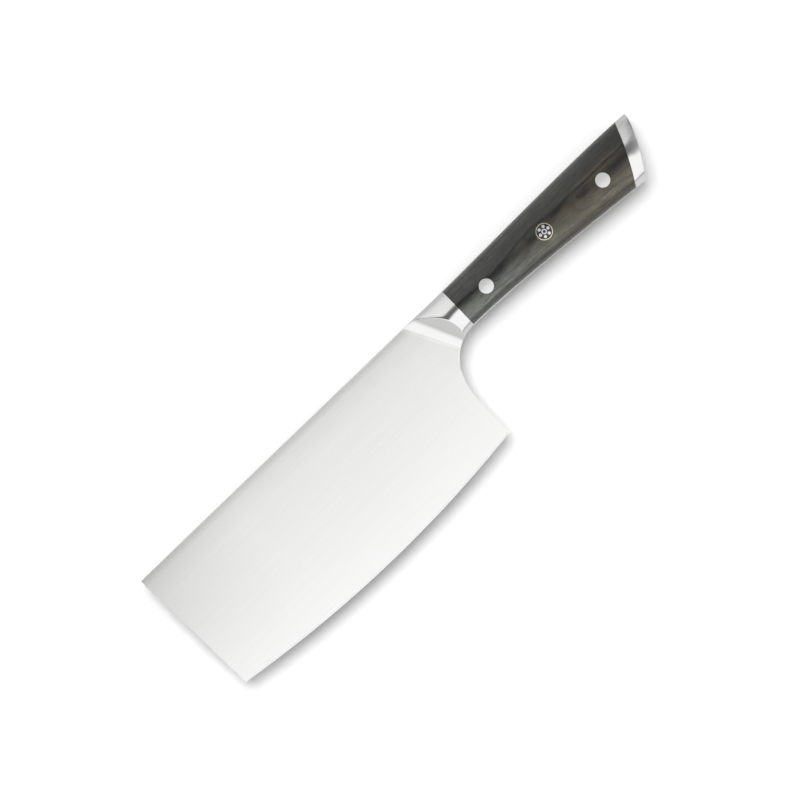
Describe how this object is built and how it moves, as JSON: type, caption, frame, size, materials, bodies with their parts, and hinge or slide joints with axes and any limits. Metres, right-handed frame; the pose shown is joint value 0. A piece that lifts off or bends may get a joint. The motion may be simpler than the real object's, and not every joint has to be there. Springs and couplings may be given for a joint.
{
  "type": "cleaver",
  "caption": "Wide, thin-bladed kitchen cleaver with a full tang, polished bolster and end cap, riveted dark wood scales and a mosaic pin.",
  "frame": {"origin": "middle of the underside of the box, with the knife lying on its right side", "axes": "+X from the front edge of the blade to the butt, +Y from the cutting edge to the spine, +Z out of the left face of the blade"},
  "size_m": [0.308, 0.0744, 0.023],
  "materials": {
    "satin_steel": "satin-ground stainless steel, fine grinding lines",
    "polished_steel": "mirror-polished stainless steel, not plated",
    "dark_wood": "dark grey-brown figured hardwood, oiled to a low gloss",
    "pale_brass": "polished",
    "black_resin": "black casting resin, polished flush"
  },
  "bodies": {
    "root": {"blade": "satin_steel", "bolster_left": "polished_steel", "bolster_right": "polished_steel", "scale_left": "dark_wood", "scale_right": "dark_wood", "end_cap_left": "polished_steel", "end_cap_right": "polished_steel", "rivet_front_stud": "satin_steel", "rivet_front_sleeve": "satin_steel", "rivet_rear_stud": "satin_steel", "rivet_rear_sleeve": "satin_steel", "mosaic_tube": "pale_brass", "mosaic_resin": "black_resin", "mosaic_core_tube": "satin_steel", "mosaic_core_plug": "black_resin", "mosaic_rod_1": "satin_steel", "mosaic_rod_2": "satin_steel", "mosaic_rod_3": "satin_steel", "mosaic_rod_4": "satin_steel", "mosaic_rod_5": "satin_steel", "mosaic_rod_6": "satin_steel"}
  },
  "joints": []
}
